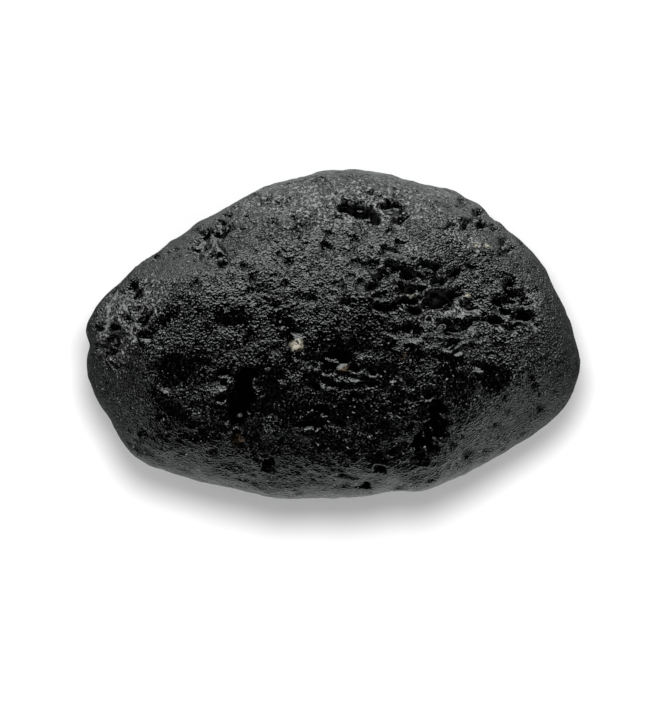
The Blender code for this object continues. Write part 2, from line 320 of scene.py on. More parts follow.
# Where the skin is broken, in plan: x, y, length, width, turn.
BROKEN = [
    (6.0, 16.2, 9.0, 4.5, -8),
    (11.2, 6.0, 13.0, 7.0, 5),
    (12.0, 0.6, 13.0, 4.0, 8),
    (22.5, 5.0, 8.0, 7.0, -35),
    (0.6, -6.0, 8.0, 9.0, 0),
    (12.0, -12.0, 9.0, 9.0, 70),
    (-12.5, -9.0, 7.0, 6.0, 80),
    (-29.0, 1.6, 3.0, 6.0, 0),
    (-15.8, 11.6, 6.0, 5.0, 40),
    (18.0, 11.0, 6.0, 3.0, -20),
]
PATCH_EDGE = (0.6, 1.3)  # the soft edge of broken skin and of flakes, in shares of the oval

# Small tilted flakes of the surface that face +Y, in plan: x, y, length, width, turn and slope.
FLAKES = [
    (-24.4, -4.9, 2.0, 1.1, 15, 0.6),
    (-22.0, -5.8, 1.9, 0.8, -15, 0.7),
    (-14.9, -7.0, 2.3, 2.1, 0, 0.9),
    (-6.5, -6.1, 1.8, 1.1, -10, 0.8),
    (-7.9, -11.6, 3.2, 3.2, 30, 0.7),
    (-18.9, -11.9, 3.0, 0.8, 5, 0.6),
    (-2.0, -10.0, 2.0, 0.9, 25, 0.8),
    (0.2, -9.2, 1.6, 0.7, 10, 0.8),
    (-0.6, -6.6, 3.6, 1.1, 20, 0.8),
    (3.0, -6.4, 2.0, 0.8, 10, 0.7),
    (7.8, -10.6, 2.4, 0.8, -5, 0.7),
    (15.3, -11.6, 1.8, 0.8, 0, 0.7),
    (-4.6, -1.6, 1.6, 0.5, 0, 0.6),
    (10.5, -0.9, 3.4, 0.9, 12, 0.8),
    (13.6, -1.3, 3.2, 0.9, 14, 0.8),
    (18.4, -1.0, 2.8, 0.9, 12, 0.8),
    (9.6, -2.0, 2.6, 0.8, 8, 0.8),
    (15.4, -0.2, 3.8, 0.8, 10, 0.8),
    (9.8, -0.2, 3.2, 0.8, 6, 0.8),
    (12.6, 0.1, 2.6, 0.7, 10, 0.8),
    (16.6, -2.6, 3.4, 1.2, 22, 0.7),
    (24.6, -0.6, 2.4, 1.0, 10, 0.6),
    (15.4, 2.4, 4.4, 1.2, 10, 0.7),
    (8.0, 1.9, 3.8, 0.9, -4, 0.7),
    (6.4, 1.2, 3.0, 0.7, 8, 0.5),
    (24.6, 2.0, 2.6, 1.2, 5, 0.5),
    (18.4, 1.4, 1.6, 0.8, 0, 0.5),
    (-12.4, -12.8, 1.8, 2.0, 0, 0.7),
    (12.5, -16.9, 2.6, 0.7, 10, 0.5),
    (4.6, -13.0, 3.4, 0.7, 5, 0.6),
    (-18.6, -13.6, 3.2, 0.6, 0, 0.5),
]

DEPOSIT_EDGE = (0.5, 1.2)  # the soft edge of a deposit, in shares of the oval
# Deposits in the surface, in plan: x, y, length, width, turn, and how far they stand up.
CREAM = [
    (-4.9, -1.4, 1.6, 1.3, 20, 0.15),
    (18.5, 11.7, 0.6, 0.4, 0, 0.0),
    (20.0, 11.3, 1.2, 0.5, 30, 0.0),
    (10.1, 4.9, 0.6, 0.35, 30, 0.0),
    (17.4, 4.7, 0.6, 0.5, 0, 0.0),
]
RUST = [
    (1.2, -4.7, 1.4, 0.9, 0, 0.0),
    (-12.1, -13.8, 1.4, 0.9, 20, 0.0),
    (9.0, -2.8, 0.8, 0.5, 40, 0.0),
]
# Where stray grains and the film are thicker; the film is partly dust and partly painted glints.
DUSTY = [
    (1.0, 17.0, 38.0, 8.0, 0, 0.0),
    (17.0, 13.0, 9.0, 4.0, -40, 0.0),
    (-25.0, 3.6, 10.0, 6.0, 40, 0.0),
    (-28.0, 0.0, 6.0, 10.0, 0, 0.0),
    (13.0, 3.4, 11.0, 4.0, 0, 0.0),
]
# Spots of dust.
DUST = [
    (-3.4, 17.6, 4.0, 3.0, 20, 0.0),
    (-6.5, 14.2, 1.2, 1.0, 0, 0.0),
    (-14.0, 12.5, 1.4, 1.0, 10, 0.0),
    (-28.9, 4.2, 0.8, 3.4, -30, 0.0),
    (-27.2, 2.6, 0.6, 3.0, 5, 0.0),
    (-29.6, -0.1, 0.9, 0.8, 0, 0.0),
    (11.0, 10.9, 5.0, 1.6, -15, 0.0),
    (15.4, 3.0, 5.0, 1.4, 8, 0.0),
    (26.0, 4.6, 2.4, 5.0, 30, 0.0),
    (25.4, 0.4, 2.0, 1.0, 20, 0.0),
    (8.2, -6.0, 3.0, 1.4, 0, 0.0),
]
# Pale dusty veins: the corners of each one in plan, and the half-width of them all.
VEINS = [
    [(-27.9, 6.0), (-29.1, 4.4), (-29.3, 1.8), (-30.2, -0.8)],
    [(-26.7, 4.4), (-26.4, 1.6), (-26.0, -1.1)],
    [(-15.2, 12.9), (-14.6, 11.4), (-14.0, 10.0)],
]
VEIN_WIDTH = 0.45


def closed_curve(knots, values, at):
    """Reads a closed smooth curve through values at the ascending angles knots."""
    turn = 2 * np.pi
    t = np.concatenate([knots[-2:] - turn, knots, knots[:2] + turn])
    v = np.concatenate([values[-2:], values, values[:2]])
    slope = (v[2:] - v[:-2]) / (t[2:] - t[:-2])
    at = (at - knots[0]) % turn + knots[0]
    left = np.clip(np.searchsorted(t, at, side="right") - 1, 1, len(t) - 3)
    step = t[left + 1] - t[left]
    s = (at - t[left]) / step
    start = v[left] * (1 + 2 * s) * (1 - s) ** 2 + slope[left - 1] * step * s * (1 - s) ** 2
    end = v[left + 1] * s**2 * (3 - 2 * s) - slope[left] * step * s**2 * (1 - s)
    return start + end


def outline_radius(azimuth):
    """Distance from the middle to the outline in plan."""
    points = np.array(OUTLINE)
    angles = np.arctan2(points[:, 1], points[:, 0])
    order = np.argsort(angles)
    return closed_curve(angles[order], np.hypot(*points.T)[order], azimuth)


def unit(azimuth, elevation):
    """Unit vector at an azimuth and an elevation in degrees."""
    a, e = np.radians(azimuth), np.radians(elevation)
    return np.array([np.cos(e) * np.cos(a), np.cos(e) * np.sin(a), np.sin(e)])


def rounded_body(directions):
    """Carries unit directions onto the plain rounded body, before it is flattened and dented."""
    azimuth = np.arctan2(directions[:, 1], directions[:, 0])
    level = np.abs(directions[:, 2])
    run = np.hypot(directions[:, 0], directions[:, 1])
    ellipse = HALF_LENGTH * HALF_WIDTH / np.hypot(
        HALF_WIDTH * np.cos(azimuth), HALF_LENGTH * np.sin(azimuth)
    )
    toward_crown = level**CROWN_ROUNDING
    radius = outline_radius(azimuth) * (1 - toward_crown) + ellipse * toward_crown
    power = np.where(directions[:, 2] > 0, FULLNESS, UNDER_FULLNESS)
    full = (run**power + level**power) ** (-1 / power)
    aside = run * full * np.sin(azimuth)
    lift = np.where(aside > 0, FAR_LIFT, NEAR_LIFT) * np.abs(aside) ** LIFT_POWER
    height = np.where(directions[:, 2] > 0, TOP_HEIGHT - lift, UNDER_DEPTH + lift)
    points = np.empty_like(directions)
    points[:, 0] = radius * run * full * np.cos(azimuth)
    points[:, 1] = radius * run * full * np.sin(azimuth)
    points[:, 2] = lift + height * directions[:, 2] * full
    rise = np.clip(points[:, 2] / TOP_HEIGHT, 0, None) ** 2
    points[:, :2] += rise[:, None] * np.array(CROWN_LEAN)
    return points


def flatten_sides(points):
    """Presses each facet softly into the body."""
    for azimuth, elevation, missing in FACETS:
        normal = unit(azimuth, elevation)
        reach = points @ normal
        plane = reach.max() - missing
        pressed = plane - FACET_EDGE * np.logaddexp(0, (plane - reach) / FACET_EDGE)
        points = points + np.outer(pressed - reach, normal)
    return points


def press_scoops(points, directions):
    """Presses a wide ball into the body for each scoop."""
    for azimuth, elevation, width, depth in SCOOPS:
        toward = unit(azimuth, elevation)
        place = points[np.argmax(directions @ toward)]
        radius = (width / 2) ** 2 / (2 * depth)
        offset = points - place - toward * (radius - depth)
        reach = np.linalg.norm(offset, axis=1)[:, None]
        push = SCOOP_EDGE * np.logaddexp(0, (radius - reach) / SCOOP_EDGE)
        points = points + offset * (push / reach)
    return points


def add_lumps(points, directions):
    """Raises the swellings and sinks the dents, then adds a slow irregular wave."""
    for azimuth, elevation, height, spread in LUMPS:
        toward = unit(azimuth, elevation)
        centre = points[np.argmax(directions @ toward)]
        distance = np.linalg.norm(points - centre, axis=1)
        points = points + np.outer(height * np.exp(-((distance / spread) ** 2)), toward)
    wave = [noise.fractal(Vector(p) / WAVE_LENGTH, 1.0, 2.0, WAVE_LAYERS) for p in points]
    return points + directions * (WAVE_HEIGHT * np.array(wave))[:, None]


def body_points(directions):
    """The whole body in millimetres, centred in plan and standing on its worn flat."""
    points = flatten_sides(rounded_body(directions))
    points = press_scoops(add_lumps(points, directions), directions)
    points[:, 2] -= points[:, 2].min() + WORN_FLAT
    points[:, 2] = np.maximum(points[:, 2], 0)
    points[:, :2] -= (points[:, :2].max(axis=0) + points[:, :2].min(axis=0)) / 2
    return points


def box_skin():
    """Corners and squares of a box's skin, GRID squares along each axis, joined at its edges."""
    places, squares, count = [], [], 0
    for axis in range(3):
        u, v = (axis + 1) % 3, (axis + 2) % 3
        for end in (0, GRID[axis]):
            i, j = np.meshgrid(np.arange(GRID[u] + 1), np.arange(GRID[v] + 1), indexing="ij")
            face = np.empty((i.size, 3), int)
            face[:, axis], face[:, u], face[:, v] = end, i.ravel(), j.ravel()
            number = count + np.arange(i.size).reshape(i.shape)
            ring = [number[:-1, :-1], number[1:, :-1], number[1:, 1:], number[:-1, 1:]]
            if end == 0:
                ring.reverse()
            squares.append(np.stack([corner.ravel() for corner in ring], axis=1))
            places.append(face)
            count += i.size
    places, joined = np.unique(np.concatenate(places), axis=0, return_inverse=True)
    return places, joined.ravel()[np.concatenate(squares)]


def sphere_directions(places):
    """Even unit directions for the corners of the box, a little crowded towards the top."""
    directions = np.tan((2 * places / np.array(GRID) - 1) * np.pi / 4)
    directions /= np.linalg.norm(directions, axis=1)[:, None]
    directions[:, 2] += CROWD
    return directions / np.linalg.norm(directions, axis=1)[:, None]


def surface_normals(points, squares):
    """Unit normals at the corners."""
    a, b, c, d = (points[squares[:, k]] for k in range(4))
    faces = np.cross(c - a, d - b)
    normals = np.zeros_like(points)
    for k in range(4):
        np.add.at(normals, squares[:, k], faces)
    return normals / np.linalg.norm(normals, axis=1)[:, None]


def smooth_step(low, high, x):
    """0 up to low, 1 from high on, and a smooth rise between."""
    t = np.clip((x - low) / (high - low), 0, 1)
    return t * t * (3 - 2 * t)


def wander(points):
    """Sideways offsets that make a carved wall ragged."""
    offset = np.zeros_like(points)
    noise.seed_set(RAGGED_SEED)
    for amount, length in RAGGED:
        steps = [noise.noise_vector(Vector(p) / length) for p in points]
        offset += amount * np.array(steps)
    return offset


def oval(plan, x, y, length, width, turn):
    """Distance from the middle of an oval in plan, 1 at its edge."""
    c, s = np.cos(np.radians(turn)), np.sin(np.radians(turn))
    dx, dy = plan[:, 0] - x, plan[:, 1] - y
    return np.hypot((c * dx + s * dy) / (length / 2), (c * dy - s * dx) / (width / 2))


def inside_oval(plan, place, edge):
    """1 inside an oval in plan and 0 outside it, with a soft edge."""
    return 1 - smooth_step(*edge, oval(plan, *place))


def crowded_cavities():
    """The small cavities of the clusters, in the same terms as the placed ones."""
    draw = np.random.RandomState(CLUSTER_SEED)
    found = []
    for x, y, length, width, turn, count in CLUSTERS:
        c, s = np.cos(np.radians(turn)), np.sin(np.radians(turn))
        for _ in range(count):
            angle = draw.uniform(0, 2 * np.pi)
            reach = np.sqrt(draw.uniform())
            along = reach * np.cos(angle) * length / 2
            across = reach * np.sin(angle) * width / 2
            place = (x + c * along - s * across, y + s * along + c * across)
            size = draw.uniform(*CLUSTER_LENGTH)
            narrow = size * draw.uniform(*CLUSTER_NARROW)
            deep = narrow * draw.uniform(*CLUSTER_DEEP)
            own_turn = draw.uniform(*CLUSTER_TURN)
            lean = draw.uniform(*CLUSTER_LEAN)
            found.append((*place, size, narrow, deep, own_turn, CLUSTER_WALL, lean))
    return found


def carve_cavities(plan):
    """Depth of the placed cavities and the crowded ones at each point."""
    depth_here = np.zeros(len(plan))
    for x, y, length, width, depth, turn, wall, lean in CAVITIES + crowded_cavities():
        inside = inside_oval(plan, (x, y, length, width, turn), (wall - WALL_START, WALL_END))
        toward = np.clip((plan[:, 1] - y) / (width / 2), -1, 1)
        floor = depth * (1 + lean * toward) / (1 + abs(lean))
        depth_here = np.maximum(depth_here, floor * inside)
    return depth_here


def line_distance(plan, corners):
    """Distance in plan from a line through corners."""
    nearest = np.full(len(plan), np.inf)
    for start, end in zip(corners[:-1], corners[1:]):
        run = np.subtract(end, start)
        share = np.clip((plan - start) @ run / (run @ run), 0, 1)
        nearest = np.minimum(nearest, np.linalg.norm(plan - start - np.outer(share, run), axis=1))
    return nearest


def draw_lines(plan):
    """Height of the creases and ridges at each point."""
    height_here = np.zeros(len(plan))
    for height, width, corners in LINES:
        height_here += height * np.exp(-((line_distance(plan, corners) / (width / 2)) ** 2))
    return height_here


def vein_cover(plan):
    """1 in the middle of the veins, fading to 0 at their edges."""
    distance = np.min([line_distance(plan, corners) for corners in VEINS], axis=0)
    return 1 - smooth_step(0, VEIN_WIDTH, distance)


def deposit(plan, places):
    """How much of a deposit there is at each point, and its height."""
    amount = np.zeros(len(plan))
    height_here = np.zeros(len(plan))
    for *place, height in places:
        here = inside_oval(plan, place, DEPOSIT_EDGE)
        amount = np.maximum(amount, here)
        height_here += height * here
    return amount, height_here


def tilt_flakes(plan):
    """Height of the tilted flakes at each point."""
    height_here = np.zeros(len(plan))
    for *place, slope in FLAKES:
        height_here -= slope * (plan[:, 1] - place[1]) * inside_oval(plan, place, PATCH_EDGE)
    return height_here


def etch(points, plan):
    """Relief of the etched skin."""
    broken = np.zeros(len(points))
    for place in BROKEN:
        broken = np.maximum(broken, inside_oval(plan, place, PATCH_EDGE))
    height_here = np.zeros(len(points))
    for height, length in ETCHING:
        height_here += height * np.array([noise.noise(Vector(p) / length) for p in points])
    return height_here * (1 + (BROKEN_TIMES - 1) * broken)


def carve_hidden(points, normals, ragged):
    """Depth of the large pits of the flanks and the underside at each point."""
    draw = np.random.RandomState(HIDDEN_SEED)
    middle = np.array([0, 0, UNDER_DEPTH])
    outward = (points - middle) / np.linalg.norm(points - middle, axis=1)[:, None]
    depth_here = np.zeros(len(points))
    for number in range(HIDDEN_PITS):
        azimuth = HIDDEN_STEP * number + draw.uniform(-HIDDEN_SCATTER, HIDDEN_SCATTER)
        place = np.argmax(outward @ unit(azimuth, draw.uniform(*HIDDEN_ELEVATION)))
        length = HIDDEN_LENGTH[0] + np.ptp(HIDDEN_LENGTH) * draw.uniform() ** 2
        width = length * draw.uniform(*HIDDEN_NARROW)
        depth = width * draw.uniform(*HIDDEN_DEEP)
        across = np.cross(normals[place], unit(draw.uniform(0, 180), 0))
        across /= np.linalg.norm(across)
        offset = points + ragged - points[place]
        along = np.cross(across, normals[place])
        r = np.hypot(offset @ along * 2 / length, offset @ across * 2 / width)
        here = depth * (1 - smooth_step(*HIDDEN_WALL, r)) * (normals @ normals[place] > SAME_SIDE)
        depth_here = np.maximum(depth_here, here)
    return depth_here


def carve_pits(points, normals):
    """Depth of the seeded pits at each point."""
    draw = np.random.RandomState(PIT_SEED)
    depth_here = np.zeros(len(points))
    for _ in range(PIT_COUNT):
        centre = draw.randint(len(points))
        width = PIT_WIDTH[0] + np.ptp(PIT_WIDTH) * draw.uniform() ** PIT_RARITY
        narrow = draw.uniform(*PIT_NARROW)
        turn = draw.uniform(0, np.pi)
        depth = width * draw.uniform(*PIT_DEEP)
        if points[centre, 1] < SMOOTHER_SIDE:
            depth *= SMOOTHER_SHARE
        offset = points - points[centre]
        near = np.flatnonzero(np.einsum("ij,ij->i", offset, offset) < width**2)
        side = np.cross(normals[centre], (np.cos(turn), np.sin(turn), OFF_LEVEL))
        side /= np.linalg.norm(side)
        other = np.cross(normals[centre], side)
        r = np.hypot(offset[near] @ side / narrow, offset[near] @ other) / (width / 2)
        depth_here[near] = np.maximum(depth_here[near], depth * (1 - smooth_step(*PIT_WALL, r)))
    return depth_here


def make_mesh(name, points, squares, marks):
    """A smooth-shaded object from corners and squares. marks are per-corner values for its material."""
    mesh = bpy.data.meshes.new(name)
    mesh.vertices.add(len(points))
    mesh.vertices.foreach_set("co", (points * MM).ravel())
    mesh.loops.add(squares.size)
    mesh.loops.foreach_set("vertex_index", squares.ravel())
    mesh.polygons.add(len(squares))
    mesh.polygons.foreach_set("loop_start", np.arange(0, squares.size, 4))
    mesh.update(calc_edges=True)
    mesh.validate()
    mesh.shade_smooth()
    for mark, values in marks.items():
        layer = mesh.attributes.new(mark, "FLOAT", "POINT")
        layer.data.foreach_set("value", values.astype(np.float32))
    obj = bpy.data.objects.new(name, mesh)
    bpy.context.scene.collection.objects.link(obj)
    return obj


def make_stone():
    """The stone's surface, with the marks that its material reads."""
    places, squares = box_skin()
    points = body_points(sphere_directions(places))
    on_floor = points[:, 2] <= 0
    normals = surface_normals(points, squares)
    ragged = wander(points)
    plan = points[:, :2] + ragged[:, :2]
    upward = smooth_step(*UPWARD, normals[:, 2])
    cavity = carve_cavities(plan) * upward
    cavity = np.maximum(cavity, carve_hidden(points, normals, ragged))
    relief = (draw_lines(plan) + tilt_flakes(plan)) * upward + etch(points, plan) - cavity
    relief -= carve_pits(points, normals) * (cavity < PITTED_DEPTH)
    marks = {"cavity": smooth_step(*CAVITY_MARK, cavity), "vein": vein_cover(plan) * upward}
    for name, ovals in (("cream", CREAM), ("rust", RUST), ("dust", DUST), ("dusty", DUSTY)):
        amount, height = deposit(plan, ovals)
        marks[name] = amount * upward
        relief += height * upward
    points = points + normals * relief[:, None]
    points[on_floor, 2] = 0
    points[:, 2] = np.maximum(points[:, 2], 0)
    return make_mesh("tektite_surface", points, squares, marks)


class Nodes:
    """Short spellings for building a node tree."""

    def __init__(self, tree):
        self.tree = tree

    def fill(self, node, values):
        """Links or sets each of a node's inputs that values names."""
        for key, value in values.items():
            if isinstance(value, bpy.types.NodeSocket):
                self.tree.links.new(value, node.inputs[key])
            else:
                node.inputs[key].default_value = value

    def add(self, kind, values=None, **settings):
        node = self.tree.nodes.new(kind)
        for key, value in settings.items():
            setattr(node, key, value)
        self.fill(node, values or {})
        return node

    def math(self, operation, a, b=0.0, c=0.0):
        return self.add("ShaderNodeMath", {0: a, 1: b, 2: c}, operation=operation).outputs[0]

    def ramp(self, value, low, high, start=0.0, end=1.0):
        """start where value is up to low, end from high on, and a smooth change between."""
        values = {"Value": value, "From Min": low, "From Max": high, "To Min": start, "To Max": end}
        node = self.add("ShaderNodeMapRange", values, interpolation_type="SMOOTHSTEP")
        return node.outputs["Result"]

    def noise(self, where, scale, detail=2.0, rough=0.5, output="Fac"):
        values = {"Vector": where, "Scale": scale, "Detail": detail, "Roughness": rough}
        return self.add("ShaderNodeTexNoise", values).outputs[output]

    def cells(self, where, scale):
        """Distance to the middle of the nearest cell, and the cell's own random colour."""
        return self.add("ShaderNodeTexVoronoi", {"Vector": where, "Scale": scale}).outputs

    def mark(self, name):
        return self.add("ShaderNodeAttribute", attribute_name=name).outputs["Fac"]

    def xyz(self, vector):
        return self.add("ShaderNodeSeparateXYZ", {0: vector}).outputs

    def blend(self, share, first, second):
        """A number between first and second."""
        return self.add("ShaderNodeMix", {0: share, 2: first, 3: second}).outputs[0]

    def mix(self, share, first, second):
        """A colour between first and second."""
        node = self.add("ShaderNodeMix", {0: share, 6: first, 7: second}, data_type="RGBA")
        return node.outputs[2]


def new_material(name):
    """A material, its nodes, and where each point is in metres."""
    material = bpy.data.materials.new(name)
    material.use_nodes = True
    nodes = Nodes(material.node_tree)
    return material, nodes, nodes.add("ShaderNodeTexCoord").outputs["Object"]


# Glass, dust whose thin film is partly painted glints, and the two deposits.
GLASS = (0.0003, 0.0003, 0.0003, 1.0)
DUST_AND_GLINT_COLOUR = (0.22, 0.225, 0.22, 1.0)
CREAM_COLOUR = (0.38, 0.35, 0.28, 1.0)
RUST_COLOUR = (0.075, 0.048, 0.028, 1.0)
GLASS_IOR = 1.5
GLASS_ROUGHNESS = (0.35, 0.65, 0.04, 0.1)  # from and to by the noise WORN, and the roughness at each
DEPOSIT_ROUGHNESS = 0.5  # what dust and deposits add to it

# Fine relief, in the material alone. Pits: cells to a metre, the part of the cells that has a pit, how far
# its floor and its rim reach in a cell, and its depth in millimetres.
FINE_PITS = [
    (1150.0, 0.45, 0.1, 0.38, 0.18),
    (2300.0, 0.75, 0.12, 0.42, 0.13),
]
PIT_CHANCE_EDGE = 0.25  # how gradually the pits get shallower from cell to cell
BOWL_SCALE = 3200.0
BOWL_HEIGHT = 0.15
BEND_SCALE = 900.0
BEND_REACH = 0.0006  # how far a noise bends the cells
IN_CAVITIES = 0.25  # how strong the fine relief is in the cavities
# How strong it is elsewhere: from and to, and the strength at each.
ETCHED_SCALE = 310.0
ETCHED_PATCHES = (0.38, 0.62, 0.3, 1.2)  # by a noise of ETCHED_SCALE
ETCHED_FAR = (0.001, 0.006, 0.0, 0.9)  # at least this by Y
ETCHED_LOW = (0.0275, 0.0305, 1.1, 0.0)  # at least this by Z
ETCHED_NEAR = (-0.018, -0.0145, 0.45, 1.0)  # times this by Y

# Noises that break up the gloss, the dust and its film of partly painted glints, and the deposits: scale,
# detail and roughness.
WORN = (260.0, 3.0, 0.5)
PATCHES = (1900.0, 3.0, 0.7)
GRAINS = (2300.0, 2.0, 0.6)
FILM_AND_GLINT_NOISE = (3600.0, 2.0, 0.7)
# Each one starts at the first value of its noise and is full from the second one on.
DUST_COVER = (0.54, 0.62)
CREAM_COVER = (0.38, 0.52)
RUST_COVER = (0.47, 0.56)
GRAIN_COVER = (0.66, 0.76)
FILM_AND_GLINT_COVER = (0.56, 0.68)
VEIN_COVER = (0.8, 0.95, 0.0, 0.8)  # with the amount at each
VEIN_RISE = 0.5  # how much the middle of a vein raises its noise
DUSTY_RISE = 0.12  # how much the dusty places raise the grains' noise
FILM_AND_GLINT_AMOUNT = 0.14
DUSTY_FILM_AND_GLINTS = 0.38  # how much more film there is in the dusty places


def pit_layer(nodes, where, scale, share, floor, rim):
    """Round pits, no more than one to a cell: 1 on the floor of each and 0 outside it."""
    cells = nodes.cells(where, scale)
    bowl = nodes.ramp(cells["Distance"], floor, rim, 1.0, 0.0)
    chance = nodes.add("ShaderNodeSeparateColor", {"Color": cells["Color"]}).outputs["Red"]
    present = nodes.ramp(chance, 1 - share, 1 - share + PIT_CHANCE_EDGE)
    return nodes.math("MULTIPLY", bowl, present)


def etched_strength(nodes, where):
    """How strong the fine relief is at each place, outside the cavities."""
    _, y, z = nodes.xyz(where)
    strength = nodes.ramp(nodes.noise(where, ETCHED_SCALE), *ETCHED_PATCHES)
    strength = nodes.math("MAXIMUM", strength, nodes.ramp(y, *ETCHED_FAR))
    strength = nodes.math("MAXIMUM", strength, nodes.ramp(z, *ETCHED_LOW))
    return nodes.math("MULTIPLY", strength, nodes.ramp(y, *ETCHED_NEAR))


def fine_relief(nodes, where, strength, outside):
    """Normal of the surface with its fine pits and the small bowls between them."""
    shift = nodes.noise(where, BEND_SCALE, output="Color")
    bend = {0: shift, 1: (BEND_REACH,) * 3, 2: where}
    bent = nodes.add("ShaderNodeVectorMath", bend, operation="MULTIPLY_ADD").outputs["Vector"]
    relief = 0.0
    for scale, share, floor, rim, depth in FINE_PITS:
        pits = pit_layer(nodes, bent, scale, share, floor, rim)
        relief = nodes.math("MULTIPLY_ADD", pits, -depth, relief)
    distance = nodes.cells(bent, BOWL_SCALE)["Distance"]
    bowls = nodes.math("MULTIPLY", distance, distance)
    relief = nodes.math("MULTIPLY_ADD", bowls, BOWL_HEIGHT, relief)
    relief = nodes.math("MULTIPLY", relief, strength)
    kept = nodes.math("MULTIPLY_ADD", outside, 1 - IN_CAVITIES, IN_CAVITIES)
    relief = nodes.math("MULTIPLY", relief, kept)
    bump = nodes.add("ShaderNodeBump", {"Height": relief, "Strength": 1.0, "Distance": MM})
    return bump.outputs["Normal"]


def dust_and_glint_cover(nodes, where, patches, strength, outside):
    """How much dust there is: in spots and veins, and as stray grains and a thin film that is partly
    painted glints.
    """
    spots = nodes.math("MULTIPLY", nodes.mark("dust"), nodes.ramp(patches, *DUST_COVER))
    raised = nodes.math("MULTIPLY_ADD", nodes.mark("vein"), VEIN_RISE, patches)
    placed = nodes.math("MAXIMUM", spots, nodes.ramp(raised, *VEIN_COVER))
    dusty = nodes.mark("dusty")
    grains = nodes.math("MULTIPLY_ADD", dusty, DUSTY_RISE, nodes.noise(where, *GRAINS))
    # The film is pale specks in the dust's colour: partly a thin dust film, partly painted glints.
    film_and_glints = nodes.ramp(nodes.noise(where, *FILM_AND_GLINT_NOISE), *FILM_AND_GLINT_COVER)
    film_and_glints = nodes.math("MULTIPLY", film_and_glints, nodes.math("MULTIPLY_ADD", dusty, DUSTY_FILM_AND_GLINTS, FILM_AND_GLINT_AMOUNT))
    film_and_glints = nodes.math("MULTIPLY", film_and_glints, strength)
    grains_and_glints = nodes.math("MAXIMUM", nodes.ramp(grains, *GRAIN_COVER), film_and_glints)
    return nodes.math("MAXIMUM", placed, nodes.math("MULTIPLY", grains_and_glints, outside))


def etched_glass():
    """Black glass with its fine relief, dust with painted glints in its film, and cream and brown
    deposits.
    """
    material, nodes, where = new_material("etched_tektite_glass")
    outside = nodes.math("SUBTRACT", 1.0, nodes.mark("cavity"))
    strength = etched_strength(nodes, where)
    patches = nodes.noise(where, *PATCHES)
    # dust holds the dust and the film's painted glints, which all take the dust's colour.
    dust = dust_and_glint_cover(nodes, where, patches, strength, outside)
    cream = nodes.math("MULTIPLY", nodes.mark("cream"), nodes.ramp(patches, *CREAM_COVER))
    rust = nodes.math("MULTIPLY", nodes.mark("rust"), nodes.ramp(patches, *RUST_COVER))
    colour = nodes.mix(dust, GLASS, DUST_AND_GLINT_COLOUR)
    colour = nodes.mix(rust, colour, RUST_COLOUR)
    colour = nodes.mix(cream, colour, CREAM_COLOUR)
    dull = nodes.math("MAXIMUM", nodes.math("MAXIMUM", dust, rust), cream)
    worn = nodes.ramp(nodes.noise(where, *WORN), *GLASS_ROUGHNESS)
    values = {
        "Base Color": colour,
        "Roughness": nodes.math("MULTIPLY_ADD", dull, DEPOSIT_ROUGHNESS, worn),
        "Normal": fine_relief(nodes, where, strength, outside),
        "IOR": GLASS_IOR,
    }
    nodes.fill(material.node_tree.nodes["Principled BSDF"], values)
    return material


# Studio.
WHITE = (1.0, 1.0, 1.0, 1.0)
COOL = (0.95, 1.0, 0.98, 1.0)  # the tint of all that the gloss picks up
WIDEST_LEVEL = 19.3
TABLE_HALF = 3.0
TABLE_DROP = 0.00002  # keeps the table clear of the stone's flat
TABLE_TONE = 0.86
TABLE_ROUGHNESS = 0.9
# The gloss picks up the table's tone times these shares, which paint shade onto the table where only the
# gloss sees it: from and to in metres, and the share at each.
TABLE_ACROSS = (-0.02, 0.045, 0.7, 0.96)  # by X
TABLE_FRONT = (-0.06, -0.03, 0.92, 0.72)  # by Y, on the -Y side
TABLE_SEEN = (0.09, 0.14, 1.0, 0.05)  # by the distance from the origin
TABLE_ENDS = (0.01, 0.034, 0.14, 1.0)  # by the distance from the X axis
# On the +Y side one share takes the place of the first two, gradually between these values of Y.
TABLE_BACK = (0.0, 0.06)
TABLE_BACK_SHARE = 0.75
CAMERA_HEIGHT = 1.5
CAMERA_SENSOR = 36.0
CAMERA_REACH = 20.0  # the camera sees nothing further away
VIEW_HEIGHT_MM = 91.3  # what the frame's long side takes in at the widest level of the stone
VIEW_CENTRE = (-0.07, -2.2)
KEY_TILT = 7.6  # degrees from straight up, towards +Y
KEY_DISTANCE = 0.5
KEY_WIDTH = 0.1
KEY_POWER = 1.83
AMBIENT = 0.75
SKY_IN_GLOSS = 0.0004  # what the gloss picks up where there is no softbox
# Softboxes, seen only as reflections: azimuth, from and to in degrees from straight up, half-width as
# the sine of the angle to the side, and radiance.
SOFTBOXES = [
    (90, 44, 100, 0.8, 2.0),
    (90, 44, 84, 0.8, 1.6),
    (90, 45, 51, 0.8, 5.2),
    (90, 56, 62, 0.8, 5.0),
    (90, 70, 77, 0.8, 4.2),
    (90, 85, 92, 0.8, 4.2),
]
SOFTBOX_EDGE = 2.0  # degrees over which a softbox fades in and out
SIDE_EDGE = 0.12  # the same for its sides, as the sine


